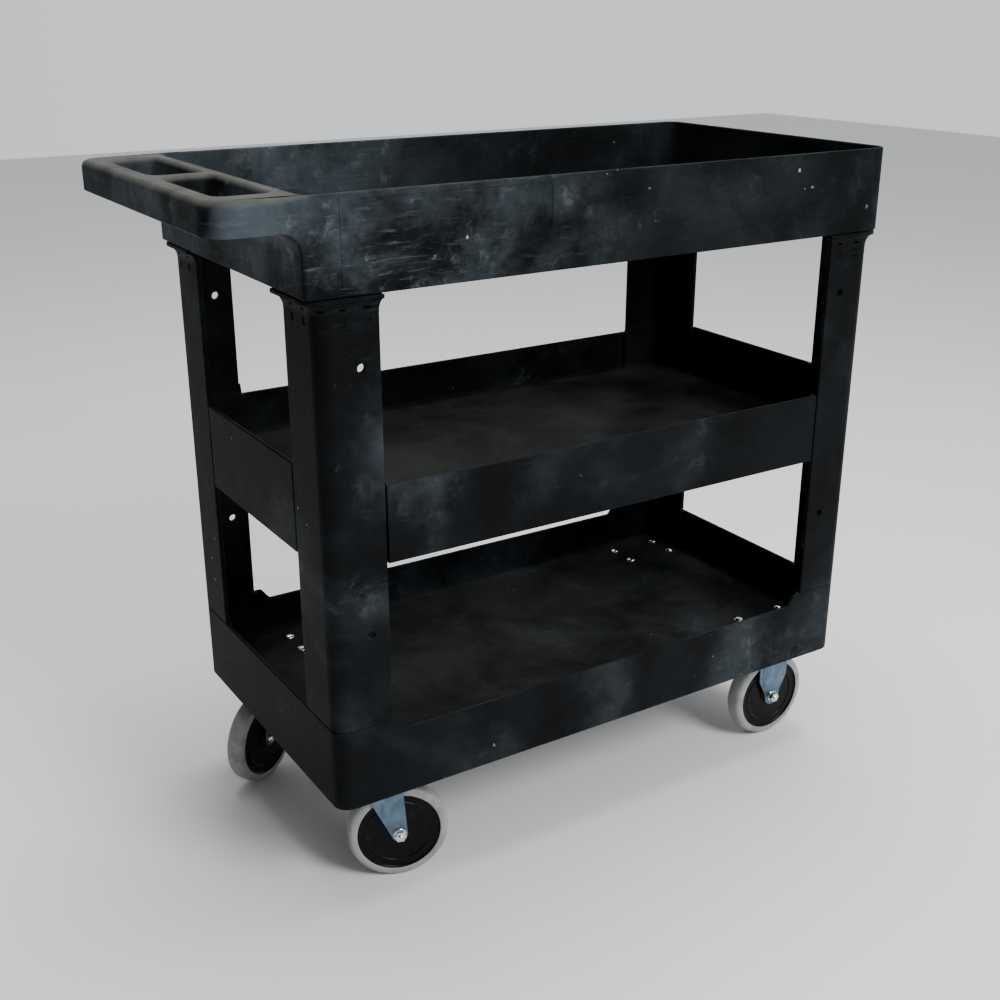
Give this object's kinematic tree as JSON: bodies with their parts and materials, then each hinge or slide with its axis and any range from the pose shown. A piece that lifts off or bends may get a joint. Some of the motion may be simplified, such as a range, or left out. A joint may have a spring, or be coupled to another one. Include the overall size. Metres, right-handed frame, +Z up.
{
  "type": "rolling utility cart",
  "caption": "Rolling utility cart: moulded trays on corner posts, a push handle with pockets at one end, swivel casters under the handle and rigid casters at the front.",
  "frame": {"origin": "on the floor, under the middle of the whole cart's length and width", "axes": "+Z up, +X along the length towards the front end with the rigid casters (the push handle is at -X), +Y towards the cart's left side"},
  "size_m": [0.909, 0.43, 0.855],
  "materials": {
    "moulded_plastic": "charcoal structural foam, scuffed satin",
    "zinc_steel": "bright zinc plate on pressed steel",
    "bright_bolts": "polished zinc plate",
    "hub_plastic": "black satin",
    "grey_tread": "pale grey non-marking, smooth"
  },
  "bodies": {
    "cart": {"bottom_shelf": "moulded_plastic", "middle_shelf": "moulded_plastic", "top_shelf": "moulded_plastic", "post_rear_right": "moulded_plastic", "post_rear_left": "moulded_plastic", "post_front_right": "moulded_plastic", "post_front_left": "moulded_plastic", "mounting_bolt_01": "bright_bolts", "mounting_bolt_02": "bright_bolts", "mounting_bolt_03": "bright_bolts", "mounting_bolt_04": "bright_bolts", "mounting_bolt_05": "bright_bolts", "mounting_bolt_06": "bright_bolts", "mounting_bolt_07": "bright_bolts", "mounting_bolt_08": "bright_bolts", "mounting_bolt_09": "bright_bolts", "mounting_bolt_10": "bright_bolts", "mounting_bolt_11": "bright_bolts", "mounting_bolt_12": "bright_bolts", "mounting_bolt_13": "bright_bolts", "mounting_bolt_14": "bright_bolts", "mounting_bolt_15": "bright_bolts", "mounting_bolt_16": "bright_bolts", "rear_right_top_plate": "zinc_steel", "rear_right_swivel_bearing": "zinc_steel", "rear_right_kingpin": "zinc_steel", "rear_left_top_plate": "zinc_steel", "rear_left_swivel_bearing": "zinc_steel", "rear_left_kingpin": "zinc_steel", "front_right_bracket": "zinc_steel", "front_right_axle_bolt": "bright_bolts", "front_right_axle_nut": "bright_bolts", "front_right_bush": "zinc_steel", "front_left_bracket": "zinc_steel", "front_left_axle_bolt": "bright_bolts", "front_left_axle_nut": "bright_bolts", "front_left_bush": "zinc_steel"},
    "rear_right_swivel": {"rear_right_fork": "zinc_steel", "rear_right_axle_bolt": "bright_bolts", "rear_right_axle_nut": "bright_bolts", "rear_right_bush": "zinc_steel"},
    "rear_right_wheel": {"rear_right_hub": "hub_plastic", "rear_right_tread": "grey_tread"},
    "rear_left_swivel": {"rear_left_fork": "zinc_steel", "rear_left_axle_bolt": "bright_bolts", "rear_left_axle_nut": "bright_bolts", "rear_left_bush": "zinc_steel"},
    "rear_left_wheel": {"rear_left_hub": "hub_plastic", "rear_left_tread": "grey_tread"},
    "front_right_wheel": {"front_right_hub": "hub_plastic", "front_right_tread": "grey_tread"},
    "front_left_wheel": {"front_left_hub": "hub_plastic", "front_left_tread": "grey_tread"}
  },
  "joints": [
    {"name": "rear_right_swivel_pivot", "type": "hinge", "parent": "cart", "child": "rear_right_swivel", "pos_m": [-0.2805, -0.151, 0.142], "axis": [0, 0, 1], "continuous": true},
    {"name": "rear_right_wheel_spin", "type": "hinge", "parent": "rear_right_swivel", "child": "rear_right_wheel", "pos_m": [-0.24912, -0.1612, 0.0635], "axis": [0.309, 0.9511, 0], "continuous": true},
    {"name": "rear_left_swivel_pivot", "type": "hinge", "parent": "cart", "child": "rear_left_swivel", "pos_m": [-0.2805, 0.151, 0.142], "axis": [0, 0, 1], "continuous": true},
    {"name": "rear_left_wheel_spin", "type": "hinge", "parent": "rear_left_swivel", "child": "rear_left_wheel", "pos_m": [-0.30879, 0.134, 0.0635], "axis": [0.515, -0.8572, 0], "continuous": true},
    {"name": "front_right_wheel_spin", "type": "hinge", "parent": "cart", "child": "front_right_wheel", "pos_m": [0.3755, -0.151, 0.0635], "axis": [0, 1, 0], "continuous": true},
    {"name": "front_left_wheel_spin", "type": "hinge", "parent": "cart", "child": "front_left_wheel", "pos_m": [0.3755, 0.151, 0.0635], "axis": [0, 1, 0], "continuous": true}
  ]
}
